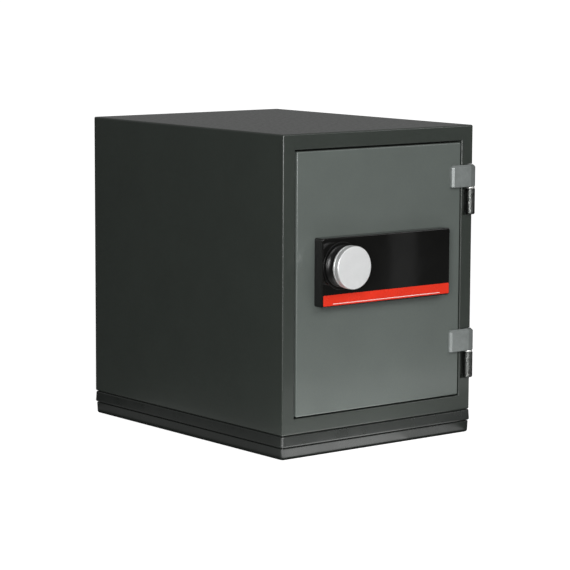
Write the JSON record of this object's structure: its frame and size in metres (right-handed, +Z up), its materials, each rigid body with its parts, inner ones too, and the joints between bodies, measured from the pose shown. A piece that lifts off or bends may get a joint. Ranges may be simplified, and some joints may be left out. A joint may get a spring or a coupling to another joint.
{
  "type": "fire-resistant cabinet safe",
  "caption": "Free-standing fire-resistant cabinet safe with a hinged door, knob-driven locking bolts, gloss lock panel, one inner shelf and a moulded plinth.",
  "frame": {"origin": "on the floor, under the middle of the steel body: the centre of the plinth's underside", "axes": "+X to the right as seen from the front, the door faces -Y, +Z up"},
  "size_m": [0.3551, 0.5033, 0.45],
  "materials": {
    "body_paint": "dark green-grey fine-textured powder coat, satin",
    "door_paint": "mid green-grey fine-textured powder coat, satin",
    "insulation": "matt light fire-resisting fill",
    "liner_plastic": "light grey fine-grained moulded plastic",
    "seal_rubber": "matt black",
    "zinc_steel": "bright zinc plate",
    "bolt_steel": "polished nickel plate",
    "shelf_paint": "light grey powder coat",
    "clip_plastic": "grey moulded plastic",
    "plinth_plastic": "near-black semi-gloss moulded plastic",
    "hinge_leaf_metal": "satin grey metallic lacquer",
    "hinge_barrel_paint": "dark grey gloss paint over cast steel",
    "washer_metal": "bright steel",
    "gloss_black": "high-gloss black acrylic",
    "red_gloss": "gloss signal red, with one thin white line",
    "knob_silver": "fine-blasted silver anodised",
    "brass": "turned",
    "board_green": "solder-masked circuit board",
    "cell_wrap": "plain blue shrink sleeve",
    "motor_case": "black nylon"
  },
  "bodies": {
    "safe_body": {"outer_shell": "body_paint", "back_panel": "body_paint", "body_insulation": "insulation", "inner_liner": "liner_plastic", "door_jamb": "body_paint", "fire_seal": "seal_rubber", "strike_channel_lock": "zinc_steel", "strike_channel_hinge": "zinc_steel", "shelf": "shelf_paint", "shelf_clips": "clip_plastic", "plinth": "plinth_plastic", "plinth_cover": "plinth_plastic", "base_pads": "seal_rubber", "plinth_screws": "zinc_steel", "hinge_pocket_upper": "body_paint", "hinge_pocket_lower": "body_paint", "hinge_barrel_upper": "hinge_barrel_paint", "hinge_barrel_lower": "hinge_barrel_paint", "hinge_pin_upper": "bolt_steel", "hinge_pin_lower": "bolt_steel", "hinge_washer_upper": "washer_metal", "hinge_washer_lower": "washer_metal"},
    "door": {"door_skin": "door_paint", "lock_plate": "zinc_steel", "door_insulation": "insulation", "door_back_cover": "liner_plastic", "back_cover_screws": "zinc_steel", "fixed_bolts": "bolt_steel", "hinge_leaf_upper": "hinge_leaf_metal", "hinge_leaf_lower": "hinge_leaf_metal", "leaf_screws": "zinc_steel", "bolt_guides": "zinc_steel", "lock_motor": "motor_case", "lock_panel": "gloss_black", "red_strip": "red_gloss", "panel_screws": "zinc_steel", "touch_board": "board_green", "battery_tray": "clip_plastic", "batteries": "cell_wrap", "battery_contacts": "brass", "cable_grommet": "seal_rubber", "lock_cable": "motor_case", "knob_ring": "gloss_black", "spindle_bush_front": "brass", "spindle_bush_rear": "brass"},
    "knob": {"knob_disc": "knob_silver", "knob_neck": "gloss_black", "spindle": "bolt_steel", "knob_grub_screw": "zinc_steel", "crank_disc": "zinc_steel", "crank_pin": "bolt_steel", "spindle_clip": "zinc_steel"},
    "bolt_carriage": {"bolt_bar": "zinc_steel", "locking_bolts": "bolt_steel", "bolt_nuts": "zinc_steel"},
    "lock_plunger": {"lock_plunger": "bolt_steel"}
  },
  "joints": [
    {"name": "door_hinge", "type": "hinge", "parent": "safe_body", "child": "door", "pos_m": [0.171, -0.2275, 0.24], "axis": [0, 0, 1], "range_deg": [0, 180]},
    {"name": "knob_turn", "type": "hinge", "parent": "door", "child": "knob", "pos_m": [-0.085, -0.2275, 0.2663], "axis": [0, -1, 0], "range_deg": [0, 90]},
    {"name": "bolt_throw", "type": "slide", "parent": "door", "child": "bolt_carriage", "axis": [-1, 0, 0], "range_m": [0, 0.016]},
    {"name": "plunger_travel", "type": "slide", "parent": "door", "child": "lock_plunger", "axis": [0, 0, 1], "range_m": [0, 0.0045]}
  ],
  "couplings": [
    {"joint": "knob_turn", "follows": "bolt_throw", "rad_per_m": 98.17}
  ]
}
